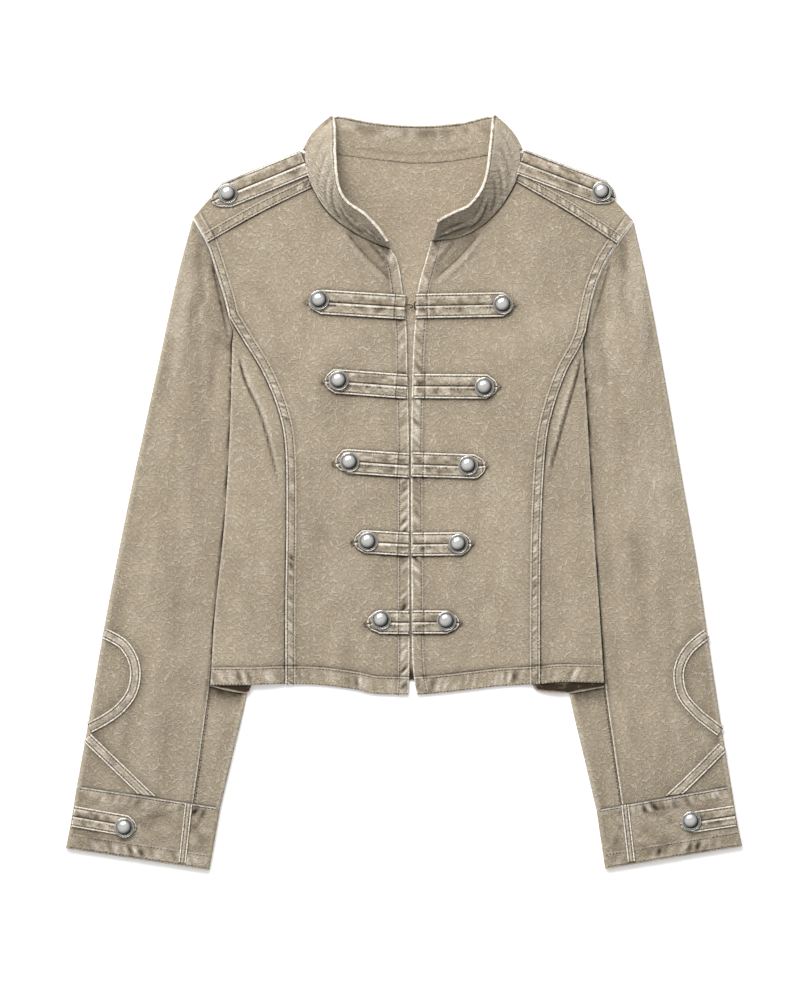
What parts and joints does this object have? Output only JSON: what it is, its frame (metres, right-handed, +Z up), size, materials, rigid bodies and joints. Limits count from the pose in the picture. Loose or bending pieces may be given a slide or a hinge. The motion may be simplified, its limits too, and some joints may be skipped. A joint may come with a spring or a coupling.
{
  "type": "cropped napoleon jacket laid flat",
  "caption": "Cropped band-collar twill jacket laid flat, front tabs under domed metal buttons, shoulder straps and trimmed two-piece sleeves.",
  "frame": {"origin": "middle of the laid jacket's outline, on the surface it lies on", "axes": "+Y from hem to collar, +Z up out of the front of the jacket, +X to the wearer's left"},
  "size_m": [0.622, 0.6942, 0.038],
  "materials": {
    "twill": "washed and enzyme-worn khaki cotton twill, matt",
    "button_metal": "satin nickel, pressed dome",
    "black_wire": "black coated steel wire"
  },
  "bodies": {
    "root": {"back": "twill", "collar": "twill", "front_right": "twill", "side_front_right": "twill", "yoke_right": "twill", "top_sleeve_right": "twill", "under_sleeve_right": "twill", "cuff_right": "twill", "cuff_vent_right": "twill", "cuff_tab_right": "twill", "epaulette_right": "twill", "braid_loop_right": "twill", "braid_diagonal_right": "twill", "tab_right_1": "twill", "tab_right_2": "twill", "tab_right_3": "twill", "tab_right_4": "twill", "tab_right_5": "twill", "front_left": "twill", "side_front_left": "twill", "yoke_left": "twill", "top_sleeve_left": "twill", "under_sleeve_left": "twill", "cuff_left": "twill", "cuff_vent_left": "twill", "cuff_tab_left": "twill", "epaulette_left": "twill", "braid_loop_left": "twill", "braid_diagonal_left": "twill", "tab_left_1": "twill", "tab_left_2": "twill", "tab_left_3": "twill", "tab_left_4": "twill", "tab_left_5": "twill", "button_right_1": "button_metal", "button_right_2": "button_metal", "button_right_3": "button_metal", "button_right_4": "button_metal", "button_right_5": "button_metal", "button_epaulette_right": "button_metal", "button_cuff_right": "button_metal", "button_left_1": "button_metal", "button_left_2": "button_metal", "button_left_3": "button_metal", "button_left_4": "button_metal", "button_left_5": "button_metal", "button_epaulette_left": "button_metal", "button_cuff_left": "button_metal", "hook": "black_wire", "eye": "black_wire"}
  },
  "joints": []
}
